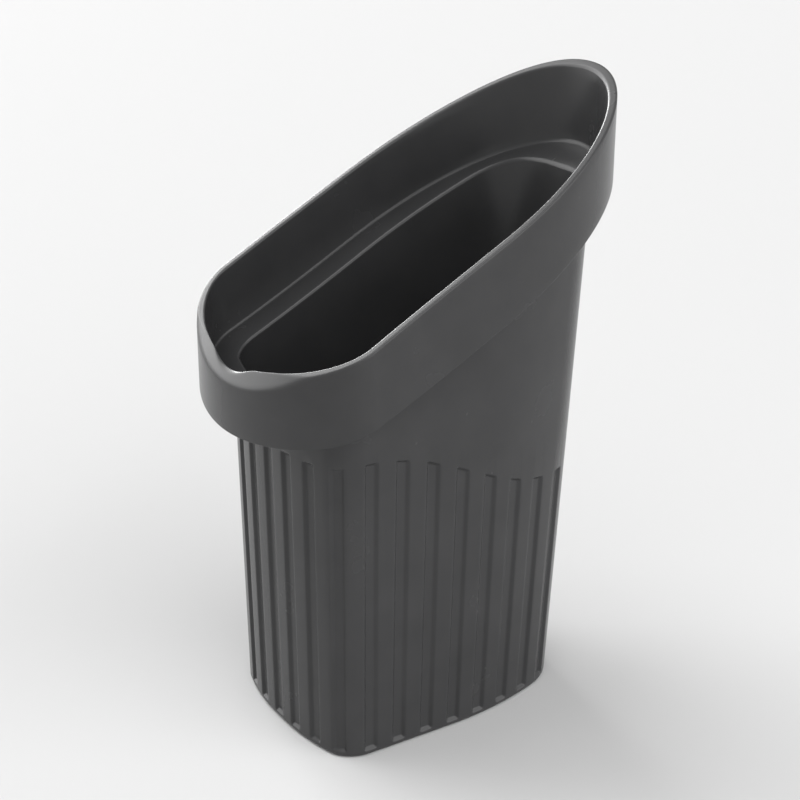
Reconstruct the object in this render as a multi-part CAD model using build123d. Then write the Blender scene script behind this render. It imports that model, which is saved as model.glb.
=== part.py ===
from build123d import *
import math
import os

# Car trash bin: one injection-moulded bucket with a stepped collar round a slanted mouth.
# Millimetres and degrees. +Z is up, the low end of the mouth faces -Y, X is the width.
# The origin is on the underside of the floor, below the middle of the collar.

# Collar, the wide band round the mouth: blunt front end, straight sides, long rounded rear end
collar_width = 105.0
collar_length = 148.0
collar_front_depth = 27.5
collar_side_length = 48.5
collar_front_fullness = 0.50
collar_rear_fullness = 0.575
collar_wall = 3.2

# Rim line seen from the side: heights above the ground and slopes at its two ends
rim_front_height = 140.0
rim_rear_height = 226.0
rim_front_slope = 32.0
rim_rear_slope = 34.5

# Underside of the collar: how far it lies below the rim, and its slopes at the two ends
collar_front_height = 22.7
collar_rear_height = 30.4
underside_front_slope = 23.0
underside_rear_slope = 29.0
ledge_thickness = 2.4

# Body, the tapered bucket below the collar: its step in from the collar and its taper
front_step = 15.7
side_step = 13.3
rear_step = 11.0
front_draft = 0.9
side_draft = 0.5
rear_draft = 3.3
body_wall = 2.6
floor_thickness = 2.6

# Ends of the body's plan: a flat tip, then three smoothly joined arcs to the straight side. The middle
# arc's radius, and its centre's inset from the side and setback from the tip, are shares of half the
# width at the base. The last arc runs on past that centre to the side
body_tip_flat = 6.0
front_radius_share = 0.264
front_inset_share = 0.293
front_setback_share = 0.354
front_arc_run = 2.6
rear_radius_share = 0.634
rear_inset_share = 0.779
rear_setback_share = 0.655
rear_arc_run = 33.9

# Flutes, the upright grooves with sloping sides round the lower part: they end just above the
# base, and their tops follow a wave along the length
flute_count = 28
flute_width = 6.0
flute_floor_width = 2.8
flute_depth = 1.1
flute_corner = 0.5
flute_foot_height = 1.8
flute_crest_drop = 5.3
flute_wave_fall = 24.4
flute_crest_setback = 32.0
flute_trough_setback = 36.0

# Finger scoop in the low end of the rim: a steep facet outside, and a dip in the lip
scoop_drop = 5.0
scoop_slope = 63.0
scoop_radius = 180.0
dip_depth = 2.6
dip_half_width = 14.0

# Edges: narrow bevels along the slanted lines, round the base and at the floor inside
rim_bevel = 0.7
underside_bevel = 0.8
ledge_bevel = 0.8
base_bevel = 1.4
floor_bevel = 2.0

# Room that a cutting shape has beyond what it cuts, how far one end of the body stops short of the
# other end's curve, and how near an edge lies to its line
cut_margin = 10.0
end_clearance = 3.0
edge_tolerance = 0.01

half_width = collar_width / 2
half_length = collar_length / 2
half_tip_flat = body_tip_flat / 2
underside_front_height = rim_front_height - collar_front_height
underside_rear_height = rim_rear_height - collar_rear_height
top_height = rim_rear_height + cut_margin
flute_crest_height = underside_front_height - flute_crest_drop
flute_side_run = (flute_width - flute_floor_width) / 2
flute_side_slope = math.degrees(math.atan2(flute_side_run, flute_depth))


class SideLine:
    """A smooth line along the bin's length, seen from the side, set by its ends and their slopes."""

    def __init__(self, front_height, rear_height, front_slope, rear_slope):
        self.front_height = front_height
        self.rear_height = rear_height
        self.front_rise = math.tan(math.radians(front_slope))
        self.rear_rise = math.tan(math.radians(rear_slope))

    def curve_points(self):
        """Control points of the cubic curve, as (along, up)."""
        third = collar_length / 3
        return [
            (-half_length, self.front_height),
            (-half_length + third, self.front_height + third * self.front_rise),
            (half_length - third, self.rear_height - third * self.rear_rise),
            (half_length, self.rear_height),
        ]

    def height(self, along):
        """Height of the line at a place along the length."""
        share = (along + half_length) / collar_length
        rest = 1 - share
        weights = [rest**3, 3 * rest**2 * share, 3 * rest * share**2, share**3]
        return sum(weight * up for weight, (_, up) in zip(weights, self.curve_points()))

    def below(self):
        """Solid that fills all the space below the line, across the whole width."""
        front = (-half_length, self.front_height)
        rear = (half_length, self.rear_height)
        front_out = (front[0] - cut_margin, front[1] - cut_margin * self.front_rise)
        rear_out = (rear[0] + cut_margin, rear[1] + cut_margin * self.rear_rise)
        edges = Curve() + [
            Line(front_out, front),
            Bezier(*self.curve_points()),
            Line(rear, rear_out),
            Polyline(rear_out, (rear_out[0], -cut_margin), (front_out[0], -cut_margin), front_out),
        ]
        side = Plane.YZ * make_face(edges)
        return extrude(side, amount=half_width + cut_margin, both=True)


rim_line = SideLine(rim_front_height, rim_rear_height, rim_front_slope, rim_rear_slope)
underside_line = SideLine(
    underside_front_height,
    underside_rear_height,
    underside_front_slope,
    underside_rear_slope,
)
ledge_line = SideLine(
    underside_front_height + ledge_thickness,
    underside_rear_height + ledge_thickness,
    underside_front_slope,
    underside_rear_slope,
)


def end_curve(half_wide, tip, side, fullness):
    """Right half of one end of the collar's plan, from its middle to the straight side."""
    return Bezier(
        (0, tip),
        (fullness * half_wide, tip),
        (half_wide, side + fullness * (tip - side)),
        (half_wide, side),
    )


def collar_face(inset):
    """Plan face of the collar, drawn in by a wall."""
    half_wide = half_width - inset
    side_front = -half_length + collar_front_depth
    side_rear = side_front + collar_side_length
    front = end_curve(half_wide, -half_length + inset, side_front, collar_front_fullness)
    side = Line((half_wide, side_front), (half_wide, side_rear))
    rear = end_curve(half_wide, half_length - inset, side_rear, collar_rear_fullness)
    right = [front, side, rear]
    return make_face(right + [mirror(edge, Plane.YZ) for edge in right])


def lean(draft, height):
    """How far a drafted wall leans over a height."""
    return math.tan(math.radians(draft)) * height


# Half the body's width at the base
base_half_width = half_width - side_step - lean(side_draft, underside_line.height(0))


def arc_round(centre, start, end):
    """Arc from one point to another round a centre, the short way."""
    middle = centre + (start + end - centre * 2).normalized() * (start - centre).length
    return ThreePointArc(start, middle, end)


class BodyEnd:
    """One end of the body in plan at the base. Outward is -1 for the front and 1 for the rear."""

    def __init__(self, outward, step, step_height, draft, radius_share, inset_share, setback_share, run):
        self.outward = outward
        self.draft = outward * draft
        self.tip = outward * (half_length - step - lean(draft, step_height))
        self.radius = base_half_width * radius_share
        self.inset = base_half_width * inset_share
        self.setback = base_half_width * setback_share
        self.side = self.tip - outward * (self.setback + run)

    def tip_at(self, wall):
        """Place of the tip along the length, drawn in by a wall."""
        return self.tip - self.outward * wall

    def arcs(self, wall):
        """Right half of the end, drawn in by a wall: three arcs from the flat tip to the straight side."""
        half_wide = base_half_width - wall
        tip = Vector(half_tip_flat, self.tip_at(wall))
        side = Vector(half_wide, self.side)
        radius = self.radius - wall
        inset = self.inset - wall
        setback = self.setback - wall
        corner = Vector(half_wide - inset, tip.Y - self.outward * setback)
        across = corner.X - tip.X
        along = corner.Y - side.Y
        tip_radius = (across**2 + setback**2 - radius**2) / (2 * (setback - radius))
        side_radius = (along**2 + inset**2 - radius**2) / (2 * (inset - radius))
        tip_centre = tip - Vector(0, self.outward * tip_radius)
        side_centre = side - Vector(side_radius, 0)
        tip_join = tip_centre + (corner - tip_centre).normalized() * tip_radius
        side_join = side_centre + (corner - side_centre).normalized() * side_radius
        return [
            arc_round(tip_centre, tip, tip_join),
            arc_round(corner, tip_join, side_join),
            arc_round(side_centre, side_join, side),
        ]

    def tilted_plane(self):
        """Ground plane tilted so that its normal follows the end's draft."""
        return Plane(origin=(0, 0, 0), x_dir=(1, 0, 0), z_dir=(0, lean(self.draft, 1), 1))


front_end = BodyEnd(
    -1,
    front_step,
    underside_front_height,
    front_draft,
    front_radius_share,
    front_inset_share,
    front_setback_share,
    front_arc_run,
)
rear_end = BodyEnd(
    1,
    rear_step,
    underside_rear_height,
    rear_draft,
    rear_radius_share,
    rear_inset_share,
    rear_setback_share,
    rear_arc_run,
)


def body_solid(low, wall, bevel):
    """Tapered solid inside the body's walls, from a bevelled bottom up past the rim.

    Each end is pushed up square to a plane tilted by its draft. The two ends overlap along the straight
    sides, and the right half then leans out by the draft of the sides, is bevelled and mirrored.
    """
    half_wide = base_half_width - wall
    right = Part()
    for end, other in ((front_end, rear_end), (rear_end, front_end)):
        tip = end.tip_at(wall)
        far = other.side + end.outward * end_clearance
        rest = Polyline(
            (half_wide, end.side),
            (half_wide, far),
            (-half_tip_flat, far),
            (-half_tip_flat, tip),
            (half_tip_flat, tip),
        )
        plan = make_face(Curve() + end.arcs(wall) + rest)
        right += extrude(end.tilted_plane() * plan, amount=top_height, both=True)
    from_middle_up = (Align.MIN, Align.CENTER, Align.MIN)
    room = Pos(0, 0, low) * Box(collar_width, 2 * collar_length, top_height - low, align=from_middle_up)
    right = room & (Rot(0, side_draft, 0) * right)
    bottom_edges = right.edges().group_by(Axis.Z)[0].sort_by(Axis.X)
    right = chamfer(bottom_edges[1:], bevel)
    return right + mirror(right, Plane.YZ)


def body_outline(height):
    """Right half of the body's plan outline at a height, from the middle of the front to the rear's."""
    out = lean(side_draft, height)
    wires = []
    for end in (front_end, rear_end):
        move = Pos(out, lean(end.draft, height), height)
        wires.append([move * arc for arc in end.arcs(0)])
    front_tip = wires[0][0] @ 0
    rear_tip = wires[1][0] @ 0
    side = Line(wires[0][-1] @ 1, wires[1][-1] @ 1)
    front_flat = Line((0, front_tip.Y, height), front_tip)
    rear_flat = Line(rear_tip, (0, rear_tip.Y, height))
    return Wire([front_flat] + wires[0] + [side] + wires[1][::-1] + [rear_flat])


def edges_along(part, line):
    """Edges of a solid that run along a side line, without the flat seams in its middle plane."""
    def lies_on(edge):
        places = [edge.position_at(share) for share in (0.0, 0.3, 0.7, 1.0)]
        on_line = all(abs(place.Z - line.height(place.Y)) < edge_tolerance for place in places)
        return on_line and abs(edge.center().X) > edge_tolerance
    return part.edges().filter_by(lies_on)


def bevelled(part, line, bevel):
    """The solid with a bevel on its edges along a side line."""
    return chamfer(edges_along(part, line), bevel)


def flute_top(along):
    """Height of the flutes' tops: a wave with its crest near the front and its trough near the rear."""
    crest = -half_length + flute_crest_setback
    trough = half_length - flute_trough_setback
    phase = math.pi * (along - crest) / (trough - crest)
    return flute_crest_height - flute_wave_fall * (1 - math.cos(phase)) / 2


def flute_cutter(share, low_wire, high_wire):
    """Cutter for the flute at a share of the way from front to rear, laid along the drafted wall."""
    foot = low_wire.position_at(share)
    head = high_wire.position_at(share)
    tangent = low_wire.tangent_at(share)
    up = (head - foot).normalized()
    outward = tangent.cross(up).normalized()
    half_floor = flute_floor_width / 2
    low = flute_foot_height / up.Z + flute_side_run
    near_top = flute_top(foot.Y - tangent.Y * half_floor) / up.Z - flute_side_run
    far_top = flute_top(foot.Y + tangent.Y * half_floor) / up.Z - flute_side_run
    outline = Polygon(
        (-half_floor, low),
        (half_floor, low),
        (half_floor, far_top),
        (-half_floor, near_top),
        align=None,
    )
    outline = chamfer(outline.vertices(), flute_corner)
    flute_floor = Plane(origin=foot - outward * flute_depth, x_dir=tangent, z_dir=outward)
    return extrude(flute_floor * outline, amount=2 * flute_depth, taper=-flute_side_slope)


def flute_cutters():
    """All the flutes, evenly spaced round the body, the first at the middle of the front."""
    low_wire = body_outline(0)
    high_wire = body_outline(flute_crest_height)
    cutters = []
    for index in range(flute_count // 2 + 1):
        share = 2 * index / flute_count
        cutter = flute_cutter(share, low_wire, high_wire)
        cutters.append(cutter)
        if 0 < share < 1:
            cutters.append(mirror(cutter, Plane.YZ))
    return cutters


def scoop_facet():
    """Cutter for the steep, slightly bowed facet outside the low end of the rim."""
    tilt = math.radians(scoop_slope)
    foot = (0, -half_length, rim_front_height - scoop_drop)
    across = Plane(origin=foot, x_dir=(1, 0, 0), z_dir=(0, math.cos(tilt), math.sin(tilt)))
    block = Rectangle(collar_width, 2 * collar_front_depth)
    section = block - Pos(0, scoop_radius) * Circle(scoop_radius)
    return extrude(across * section, amount=collar_front_height, both=True)


def lip_dip():
    """Cutter for the shallow round dip in the middle of the lip."""
    radius = (dip_half_width**2 + dip_depth**2) / (2 * dip_depth)
    tilt = math.radians(rim_front_slope)
    lip_place = -half_length + collar_wall
    lip = Plane(
        origin=(0, lip_place, rim_line.height(lip_place)),
        x_dir=(1, 0, 0),
        z_dir=(0, math.cos(tilt), math.sin(tilt)),
    )
    dip = Pos(0, dip_depth - radius) * Circle(radius)
    return extrude(lip * dip, amount=collar_wall + cut_margin, both=True)


def make_bin():
    """The whole bin: collar and body, hollowed, edged, fluted and scooped."""
    collar = extrude(collar_face(0), amount=top_height) & rim_line.below()
    collar = bevelled(collar - underside_line.below(), underside_line, underside_bevel)
    body = body_solid(0, 0, base_bevel) & ledge_line.below()
    mouth = extrude(collar_face(collar_wall), amount=top_height) - ledge_line.below()
    inside = body_solid(floor_thickness, body_wall, floor_bevel)
    shell = collar + body - mouth - inside
    shell = bevelled(bevelled(shell, rim_line, rim_bevel), ledge_line, ledge_bevel)
    return shell - flute_cutters() - scoop_facet() - lip_dip()


os.makedirs("parts", exist_ok=True)
export_step(make_bin(), "parts/bin.step")
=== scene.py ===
import math

import bpy
import numpy as np
from mathutils import Matrix, Vector


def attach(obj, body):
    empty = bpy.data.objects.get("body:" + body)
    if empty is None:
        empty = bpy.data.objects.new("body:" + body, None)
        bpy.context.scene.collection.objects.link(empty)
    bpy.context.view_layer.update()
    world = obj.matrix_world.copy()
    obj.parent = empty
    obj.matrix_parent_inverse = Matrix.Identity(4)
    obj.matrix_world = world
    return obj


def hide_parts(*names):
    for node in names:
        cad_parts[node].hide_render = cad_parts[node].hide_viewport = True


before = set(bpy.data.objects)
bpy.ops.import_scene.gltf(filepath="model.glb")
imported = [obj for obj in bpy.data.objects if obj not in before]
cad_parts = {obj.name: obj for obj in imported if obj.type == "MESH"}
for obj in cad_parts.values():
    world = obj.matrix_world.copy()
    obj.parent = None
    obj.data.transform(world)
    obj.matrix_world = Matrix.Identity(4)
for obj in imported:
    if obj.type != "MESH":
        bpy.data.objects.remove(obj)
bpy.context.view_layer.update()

# Sizes in millimetres and degrees, as in the solid model. The mesh is made in metres.
MM = 0.001

collar_half_width = 52.5
collar_half_length = 74.0
collar_front_depth = 27.5
collar_side_length = 48.5
collar_front_fullness = 0.50
collar_rear_fullness = 0.575
collar_wall = 3.2

rim_front_height = 140.0
rim_rear_height = 226.0
rim_front_slope = 32.0
rim_rear_slope = 34.5

collar_front_height = 22.7
collar_rear_height = 30.4
underside_front_slope = 23.0
underside_rear_slope = 29.0
ledge_thickness = 2.4

front_step = 15.7
side_step = 13.3
rear_step = 11.0
front_draft = 0.9
side_draft = 0.5
rear_draft = 3.3
body_wall = 2.6
floor_thickness = 2.6

half_tip_flat = 3.0
front_radius_share = 0.264
front_inset_share = 0.293
front_setback_share = 0.354
front_arc_run = 2.6
rear_radius_share = 0.634
rear_inset_share = 0.779
rear_setback_share = 0.655
rear_arc_run = 33.9

flute_count = 28
flute_width = 6.0
flute_floor_width = 2.8
flute_depth = 1.1
flute_corner_radius = 1.2
flute_foot_height = 1.8
flute_crest_drop = 5.3
flute_wave_fall = 24.4
flute_crest_setback = 32.0
flute_trough_setback = 36.0

scoop_drop = 5.0
scoop_slope = 63.0
scoop_radius = 180.0
scoop_soft_edge = 0.4
dip_depth = 2.6
dip_half_width = 14.0
dip_soft_edge = 1.5

# Rounded edges
rim_radius = 0.8
underside_radius = 0.3
ledge_radius = 1.2
base_radius = 1.6
floor_radius = 3.0

# Fineness of the mesh: columns over each part of half a flute, rings over each stretch of surface
flute_floor_columns = 4
flute_slope_columns = 9
land_columns = 5
edge_rings = 6
wide_edge_rings = 7
inner_wall_rings = 11
collar_wall_rings = 8
ledge_rings = 2
rim_rings = 7
plain_wall_rings = 6
flute_end_rings = 12
flute_middle_rings = 8

# Fine steps for measuring an outline's length, and rounds for finding where the body meets a line
outline_steps = 6001
meeting_rounds = 8

underside_front_height = rim_front_height - collar_front_height
underside_rear_height = rim_rear_height - collar_rear_height
flute_crest_height = underside_front_height - flute_crest_drop
flute_side_run = (flute_width - flute_floor_width) / 2


def rise(slope):
    """Rise per unit of run of a slope in degrees."""
    return math.tan(math.radians(slope))


def cubic(t, p0, p1, p2, p3):
    """Point on a cubic curve."""
    rest = 1 - t
    return rest**3 * p0 + 3 * rest**2 * t * p1 + 3 * rest * t**2 * p2 + t**3 * p3


def side_line(front_height, rear_height, front_slope, rear_slope):
    """Height along the length of a smooth line set by its two ends and their slopes."""
    third = 2 * collar_half_length / 3
    front_pull = front_height + third * rise(front_slope)
    rear_pull = rear_height - third * rise(rear_slope)

    def height(y):
        share = (y + collar_half_length) / (2 * collar_half_length)
        return cubic(share, front_height, front_pull, rear_pull, rear_height)

    return height


rim_line = side_line(rim_front_height, rim_rear_height, rim_front_slope, rim_rear_slope)
underside_line = side_line(
    underside_front_height, underside_rear_height, underside_front_slope, underside_rear_slope
)


def ledge_line(y):
    """Height of the ledge inside the collar."""
    return underside_line(y) + ledge_thickness


def collar_plan(u, inset):
    """Right half of the collar's plan, drawn in by an inset.

    The place u runs from 0 to 1 round the front, to 2 along the side and to 3 round the rear.
    """
    wide = collar_half_width - inset
    front = -collar_half_length + inset
    rear = collar_half_length - inset
    side_front = -collar_half_length + collar_front_depth
    side_rear = side_front + collar_side_length
    front_pull = side_front + collar_front_fullness * (front - side_front)
    rear_pull = side_rear + collar_rear_fullness * (rear - side_rear)
    t = np.clip(u, 0, 1)
    x = cubic(t, 0, collar_front_fullness * wide, wide, wide)
    y = cubic(t, front, front, front_pull, side_front)
    y = y + np.clip(u - 1, 0, 1) * (side_rear - side_front)
    t = np.clip(u - 2, 0, 1)
    x = np.where(u > 2, cubic(t, wide, wide, collar_rear_fullness * wide, 0), x)
    y = np.where(u > 2, cubic(t, side_rear, rear_pull, rear, rear), y)
    return x, y


# Half the body's width at the base
base_half_width = collar_half_width - side_step - rise(side_draft) * underside_line(0)


class BodyEnd:
    """One end of the body's plan at the base: half a flat tip, then three smooth arcs to the side.

    Outward is -1 for the front and 1 for the rear. Depths are measured inwards from the tip, and turns
    from the direction that the tip faces to the one that the side faces.
    """

    def __init__(self, outward, step, step_height, draft, radius_share, inset_share, setback_share, run):
        radius = base_half_width * radius_share
        inset = base_half_width * inset_share
        setback = base_half_width * setback_share
        across = base_half_width - inset - half_tip_flat
        tip_radius = (across**2 + setback**2 - radius**2) / (2 * (setback - radius))
        side_radius = (run**2 + inset**2 - radius**2) / (2 * (inset - radius))
        tip_turn = math.atan2(across, tip_radius - setback)
        corner_turn = math.atan2(side_radius - inset, run)
        self.outward = outward
        self.draft = draft
        self.tip = collar_half_length - step - rise(draft) * step_height
        self.side = self.tip - setback - run
        self.radii = np.array([tip_radius, radius, side_radius])
        corner_across = half_tip_flat + across
        self.centre_across = np.array([half_tip_flat, corner_across, base_half_width - side_radius])
        self.centre_depth = np.array([tip_radius, setback, setback + run])
        self.turns = np.array([0, tip_turn, corner_turn, math.pi / 2])
        self.runs = half_tip_flat + np.append(0, np.cumsum(self.radii * np.diff(self.turns)))
        self.length = self.runs[-1]

    def points(self, run, z, inset):
        """Plan points at runs from the middle of the tip, at a height, drawn in by a wall."""
        turn = np.interp(run, self.runs, self.turns)
        arc = np.searchsorted(self.turns[1:3], turn)
        flat = np.clip(run / half_tip_flat, 0, 1)
        reach = self.radii[arc] - inset
        x = self.centre_across[arc] + reach * np.sin(turn) - half_tip_flat * (1 - flat)
        depth = self.centre_depth[arc] - reach * np.cos(turn)
        y = (self.tip - depth) / math.cos(math.radians(self.draft)) + rise(self.draft) * z
        return x + rise(side_draft) * z * flat, self.outward * y


front_end = BodyEnd(
    -1,
    front_step,
    underside_front_height,
    front_draft,
    front_radius_share,
    front_inset_share,
    front_setback_share,
    front_arc_run,
)
rear_end = BodyEnd(
    1,
    rear_step,
    underside_rear_height,
    rear_draft,
    rear_radius_share,
    rear_inset_share,
    rear_setback_share,
    rear_arc_run,
)
body_side_length = front_end.side + rear_end.side
body_half_run = front_end.length + body_side_length + rear_end.length


def body_plan(run, z, inset):
    """Right half of the body's plan at a height, drawn in by a wall.

    Runs are lengths along the base's outline, from the middle of the front to the middle of the rear.
    """
    front_x, front_y = front_end.points(run, z, inset)
    rear_x, rear_y = rear_end.points(body_half_run - run, z, inset)
    share = np.clip((run - front_end.length) / body_side_length, 0, 1)
    x = np.where(share < 1, front_x, rear_x)
    return x, front_y + (rear_y - front_y) * share


def length_along(x, y):
    """Length of a line of plan points, up to each point."""
    return np.append(0, np.cumsum(np.hypot(np.diff(x), np.diff(y))))


def flute_columns(half_run):
    """Places of the mesh's columns along half an outline, and how far they are from their flutes."""
    half_pitch = half_run / flute_count
    floor = np.linspace(0, flute_floor_width / 2, flute_floor_columns)
    slope = np.linspace(flute_floor_width / 2, flute_width / 2, flute_slope_columns)
    land = np.linspace(flute_width / 2, half_pitch, land_columns)
    after = np.concatenate([floor, slope[1:], land[1:]])
    period = np.concatenate([-after[-2:0:-1], after])
    places = [after]
    offsets = [after]
    for index in range(1, flute_count // 2):
        places.append(2 * half_pitch * index + period)
        offsets.append(period)
    places.append(half_run - after[-2::-1])
    offsets.append(-after[-2::-1])
    return np.concatenate(places), np.concatenate(offsets)


def body_runs(z):
    """Runs of the body's columns at a height, their shares of the way and distances from flutes."""
    fine = np.linspace(0, body_half_run, outline_steps)
    length = length_along(*body_plan(fine, z, 0))
    places, offsets = flute_columns(length[-1])
    return np.interp(places, length, fine), places / length[-1], offsets


base_runs, _, flute_offset = body_runs(0)
crest_runs, column_share, _ = body_runs(flute_crest_height)


def body_columns(z, inset):
    """Plan points of the body's columns at a height, drawn in by a wall."""
    run = base_runs + (crest_runs - base_runs) * z / flute_crest_height
    return body_plan(run, z, inset)


def body_on_line(line, inset):
    """Points where the body's wall meets a side line, found by going to the line a few times."""
    z = line(0)
    for _ in range(meeting_rounds):
        x, y = body_columns(z, inset)
        z = line(y)
    return x, y, z


def collar_columns(inset):
    """Plan points of the collar's columns, spaced as on the body, drawn in by a wall."""
    fine = np.linspace(0, 3, outline_steps)
    length = length_along(*collar_plan(fine, 0))
    return collar_plan(np.interp(column_share * length[-1], length, fine), inset)


def soft_min(a, b, blend):
    """The lower of two heights, with a soft edge where they cross."""
    share = np.clip(0.5 + 0.5 * (b - a) / blend, 0, 1)
    return b * (1 - share) + a * share - blend * share * (1 - share)


def rim_top(x, y):
    """Height of the rim's top, with the finger scoop's facet and the dip in its lip."""
    facet = rim_front_height - scoop_drop + rise(scoop_slope) * (y + collar_half_length)
    facet = facet - x**2 / (2 * scoop_radius * math.cos(math.radians(scoop_slope)))
    radius = (dip_half_width**2 + dip_depth**2) / (2 * dip_depth)
    dip_limit = 0.98 * radius
    across = np.minimum(np.abs(x), dip_limit)
    depth = dip_depth - radius + np.sqrt(radius**2 - across**2)
    dip = rim_line(y) - depth / math.cos(math.radians(rim_front_slope))
    at_front = y < 0
    dip = np.where(at_front, dip, rim_line(y) + radius)
    facet = np.where(at_front, facet, rim_line(y) + radius)
    return soft_min(soft_min(rim_line(y), dip, dip_soft_edge), facet, scoop_soft_edge)


def flute_top(y):
    """Height of the flutes' tops: a wave with its crest near the front and its trough near the rear."""
    crest = -collar_half_length + flute_crest_setback
    trough = collar_half_length - flute_trough_setback
    phase = math.pi * (y - crest) / (trough - crest)
    return flute_crest_height - flute_wave_fall * (1 - np.cos(phase)) / 2


def flute_inset(z, top):
    """Depth of the flutes at each column: grooves with soft sloping sides and round corners."""
    past_side = np.abs(flute_offset) - flute_width / 2 + flute_corner_radius
    past_end = np.maximum(z - top, flute_foot_height - z) + flute_corner_radius
    outside = np.hypot(np.maximum(past_side, 0), np.maximum(past_end, 0))
    distance = outside + np.minimum(np.maximum(past_side, past_end), 0) - flute_corner_radius
    share = np.clip(-distance / flute_side_run, 0, 1)
    return flute_depth * share**2 * (3 - 2 * share)


def quarter_turn(count):
    """Angles of a quarter turn, for a rounded edge."""
    return np.linspace(0, math.pi / 2, count)


def band_rings(start, end, height_at, radius, start_turn, end_turn, flat_count):
    """Rings over a band between two outlines, with a round edge at each side.

    A turn of 1 curves up out of the band and a turn of -1 curves down.
    """
    width = np.hypot(end[0] - start[0], end[1] - start[1])
    steps = []
    for angle in quarter_turn(edge_rings):
        steps.append((radius * (1 - math.cos(angle)), start_turn * radius * (1 - math.sin(angle))))
    for share in np.linspace(0, 1, flat_count + 2)[1:-1]:
        steps.append((radius + (width - 2 * radius) * share, 0))
    for angle in quarter_turn(edge_rings):
        steps.append((width - radius * (1 - math.sin(angle)), end_turn * radius * (1 - math.cos(angle))))
    rings = []
    for distance, lift in steps:
        x = start[0] + (end[0] - start[0]) * distance / width
        y = start[1] + (end[1] - start[1]) * distance / width
        rings.append((x, y, height_at(x, y) + lift))
    return rings


def on_line(line):
    """Height of plan points that lie on a side line."""
    return lambda x, y: line(y)


def shares(count):
    """Even shares of the way along a stretch, without its start."""
    return np.linspace(0, 1, count)[1:]


def body_rings(heights, insets):
    """Rings of the body's columns at heights, drawn in by insets."""
    rings = []
    for z, inset in zip(heights, insets):
        x, y = body_columns(z, inset)
        rings.append((x, y, z))
    return rings


def bin_rings():
    """Rings of points over the surface, from the floor inside, over the rim, to the base outside."""
    *inner, inner_z = body_on_line(ledge_line, body_wall)
    *outer, outer_z = body_on_line(underside_line, 0)
    mouth = collar_columns(collar_wall)
    collar = collar_columns(0)

    # Floor inside, with its round edge, and the body's inner wall
    angles = quarter_turn(wide_edge_rings)
    heights = [floor_thickness + floor_radius * (1 - math.cos(angle)) for angle in angles]
    insets = [body_wall + floor_radius * (1 - math.sin(angle)) for angle in angles]
    low = heights[-1]
    wall = [low + (inner_z - ledge_radius - low) * share for share in shares(inner_wall_rings)[:-1]]
    rings = body_rings(heights + wall, insets + [body_wall] * len(wall))

    # Ledge, the collar's inner wall, the rim and the collar's outer wall
    rings += band_rings(inner, mouth, on_line(ledge_line), ledge_radius, -1, 1, ledge_rings)
    low = ledge_line(mouth[1]) + ledge_radius
    high = rim_top(*mouth) - rim_radius
    rings += [(*mouth, low + (high - low) * share) for share in shares(collar_wall_rings)[:-1]]
    rings += band_rings(mouth, collar, rim_top, rim_radius, -1, -1, rim_rings)
    low = underside_line(collar[1]) + underside_radius
    high = rim_top(*collar) - rim_radius
    rings += [(*collar, high + (low - high) * share) for share in shares(collar_wall_rings)[:-1]]

    # Underside of the collar
    rings += band_rings(collar, outer, on_line(underside_line), underside_radius, 1, -1, ledge_rings)

    # Fluted outer wall and the round edge of the base
    top = flute_top(body_columns(0, 0)[1])
    fine = flute_side_run + flute_corner_radius
    high = outer_z - underside_radius
    heights = [high + (top - high) * share for share in shares(plain_wall_rings)]
    heights += [top - fine * share for share in shares(flute_end_rings)]
    foot = flute_foot_height + fine
    heights += [top - fine + (foot - top + fine) * share for share in shares(flute_middle_rings)]
    heights += [foot + (base_radius - foot) * share for share in shares(flute_end_rings)]
    rings += body_rings(heights, [flute_inset(z, top) for z in heights])
    angles = quarter_turn(wide_edge_rings)[1:]
    heights = [base_radius * (1 - math.sin(angle)) for angle in angles]
    rings += body_rings(heights, [base_radius * (1 - math.cos(angle)) for angle in angles])
    return [np.stack(np.broadcast_arrays(*ring), axis=1) for ring in rings]


def make_bin():
    """The bin as one closed mesh: the rings, mirrored to full loops, with a fan at each end."""
    loops = []
    for ring in bin_rings():
        left = ring[-2:0:-1] * (-1, 1, 1)
        loops.append(np.concatenate([ring, left]))
    count = len(loops[0])
    points = np.concatenate(loops + [[[0, 0, floor_thickness], [0, 0, 0]]]) * MM
    inside_middle = len(points) - 2
    base_middle = len(points) - 1
    last = (len(loops) - 1) * count
    faces = []
    for k in range(count):
        n = (k + 1) % count
        for start in range(0, last, count):
            faces.append((start + k, start + n, start + count + n, start + count + k))
        faces.append((inside_middle, n, k))
        faces.append((base_middle, last + k, last + n))
    mesh = bpy.data.meshes.new("bin_shell")
    mesh.from_pydata(points.tolist(), [], faces)
    mesh.shade_smooth()
    shell = bpy.data.objects.new("bin_shell", mesh)
    bpy.context.scene.collection.objects.link(shell)
    return shell


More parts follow.
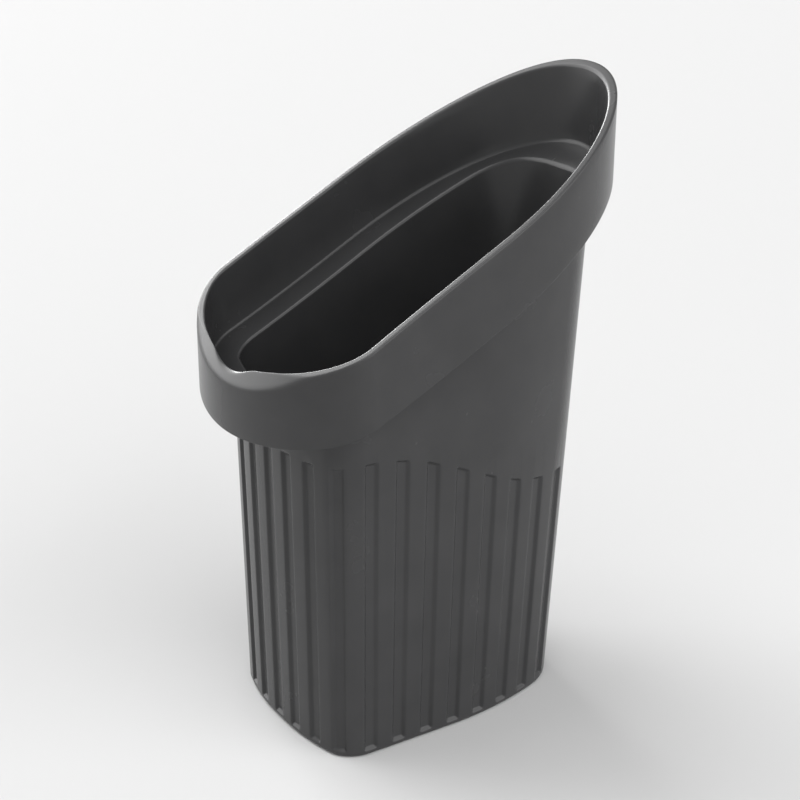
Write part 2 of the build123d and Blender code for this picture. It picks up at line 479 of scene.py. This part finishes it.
def plastic():
    """Charcoal moulded plastic: fine grain, faint mottling and a satin sheen."""
    material = bpy.data.materials.new("charcoal_plastic")
    material.use_nodes = True
    nodes = material.node_tree.nodes
    links = material.node_tree.links
    shader = nodes["Principled BSDF"]
    shader.inputs["Specular IOR Level"].default_value = 0.30
    place = nodes.new("ShaderNodeTexCoord")
    mottle = nodes.new("ShaderNodeTexNoise")
    mottle.inputs["Scale"].default_value = 55.0
    mottle.inputs["Detail"].default_value = 4.0
    links.new(place.outputs["Object"], mottle.inputs["Vector"])
    tint = nodes.new("ShaderNodeValToRGB")
    tint.color_ramp.elements[0].position = 0.3
    tint.color_ramp.elements[0].color = (0.037, 0.037, 0.038, 1)
    tint.color_ramp.elements[1].position = 0.7
    tint.color_ramp.elements[1].color = (0.043, 0.043, 0.044, 1)
    links.new(mottle.outputs["Fac"], tint.inputs["Fac"])
    links.new(tint.outputs["Color"], shader.inputs["Base Color"])
    sheen = nodes.new("ShaderNodeMapRange")
    sheen.inputs["To Min"].default_value = 0.24
    sheen.inputs["To Max"].default_value = 0.29
    links.new(mottle.outputs["Fac"], sheen.inputs["Value"])
    links.new(sheen.outputs["Result"], shader.inputs["Roughness"])
    grain = nodes.new("ShaderNodeTexNoise")
    grain.inputs["Scale"].default_value = 2600.0
    grain.inputs["Detail"].default_value = 2.0
    links.new(place.outputs["Object"], grain.inputs["Vector"])
    bump = nodes.new("ShaderNodeBump")
    bump.inputs["Strength"].default_value = 0.05
    bump.inputs["Distance"].default_value = 0.0001
    links.new(grain.outputs["Fac"], bump.inputs["Height"])
    links.new(bump.outputs["Normal"], shader.inputs["Normal"])
    return material


def pale_floor():
    """Plain pale floor, wide enough to fill the view."""
    bpy.ops.mesh.primitive_plane_add(size=12)
    ground = bpy.context.object
    ground.name = "ground"
    material = bpy.data.materials.new("pale_ground")
    material.use_nodes = True
    shader = material.node_tree.nodes["Principled BSDF"]
    shader.inputs["Base Color"].default_value = (0.65, 0.65, 0.65, 1)
    shader.inputs["Roughness"].default_value = 0.9
    ground.data.materials.append(material)


def sun_light(name, azimuth, elevation, spread, strength):
    """Even light from far away, out of a direction in degrees, as soft as its spread is wide."""
    light = bpy.data.lights.new(name, "SUN")
    light.angle = math.radians(spread)
    light.energy = strength
    lamp = bpy.data.objects.new(name, light)
    lamp.rotation_euler = (math.radians(90 - elevation), 0, math.radians(azimuth + 90))
    bpy.context.scene.collection.objects.link(lamp)


def studio_light():
    """Soft low lamps at both sides, a crisper one for the rim, and two from above."""
    sun_light("left", azimuth=200, elevation=12, spread=70, strength=3.3)
    sun_light("right", azimuth=22, elevation=14, spread=80, strength=2.8)
    sun_light("rim", azimuth=172, elevation=15, spread=14, strength=0.6)
    sun_light("overhead", azimuth=225, elevation=72, spread=30, strength=0.8)
    sun_light("front", azimuth=330, elevation=60, spread=60, strength=0.9)


def pale_room():
    """Even room that is pale where it is seen or mirrored, and lights the bin only a little."""
    world = bpy.data.worlds.new("room")
    bpy.context.scene.world = world
    world.use_nodes = True
    nodes = world.node_tree.nodes
    links = world.node_tree.links
    sky = nodes["Background"]
    sky.inputs["Color"].default_value = (1.0, 1.0, 1.0, 1)
    path = nodes.new("ShaderNodeLightPath")
    seen = path.outputs["Is Camera Ray"]
    for kind in ("Is Glossy Ray", "Is Transmission Ray"):
        either = nodes.new("ShaderNodeMath")
        either.operation = "MAXIMUM"
        links.new(seen, either.inputs[0])
        links.new(path.outputs[kind], either.inputs[1])
        seen = either.outputs["Value"]
    level = nodes.new("ShaderNodeMapRange")
    level.inputs["To Min"].default_value = 0.25
    level.inputs["To Max"].default_value = 0.85
    links.new(seen, level.inputs["Value"])
    links.new(level.outputs["Result"], sky.inputs["Strength"])


def photo_camera():
    """Camera at the photograph's viewpoint, found by fitting the rim, the ledge and the base."""
    azimuth = math.radians(57.651)
    elevation = math.radians(21.672)
    roll = math.radians(0.173)
    right = Vector((math.cos(azimuth), math.sin(azimuth), 0))
    forward = Vector((
        -math.sin(azimuth) * math.cos(elevation),
        math.cos(azimuth) * math.cos(elevation),
        -math.sin(elevation),
    ))
    up = right.cross(forward)
    turn = Matrix.Rotation(-roll, 3, forward)
    axes = Matrix((turn @ right, turn @ up, -forward)).transposed()
    camera = bpy.data.objects.new("camera", bpy.data.cameras.new("camera"))
    camera.data.lens = 73.02
    camera.data.sensor_width = 36.0
    camera.location = (0.4505, -0.2903, 0.3254)
    camera.rotation_euler = axes.to_euler()
    bpy.context.scene.collection.objects.link(camera)
    bpy.context.scene.camera = camera


shell = make_bin()
shell.data.materials.append(plastic())
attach(shell, "root")
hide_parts("bin")
pale_floor()
studio_light()
pale_room()
photo_camera()
bpy.context.scene.view_settings.view_transform = "Standard"
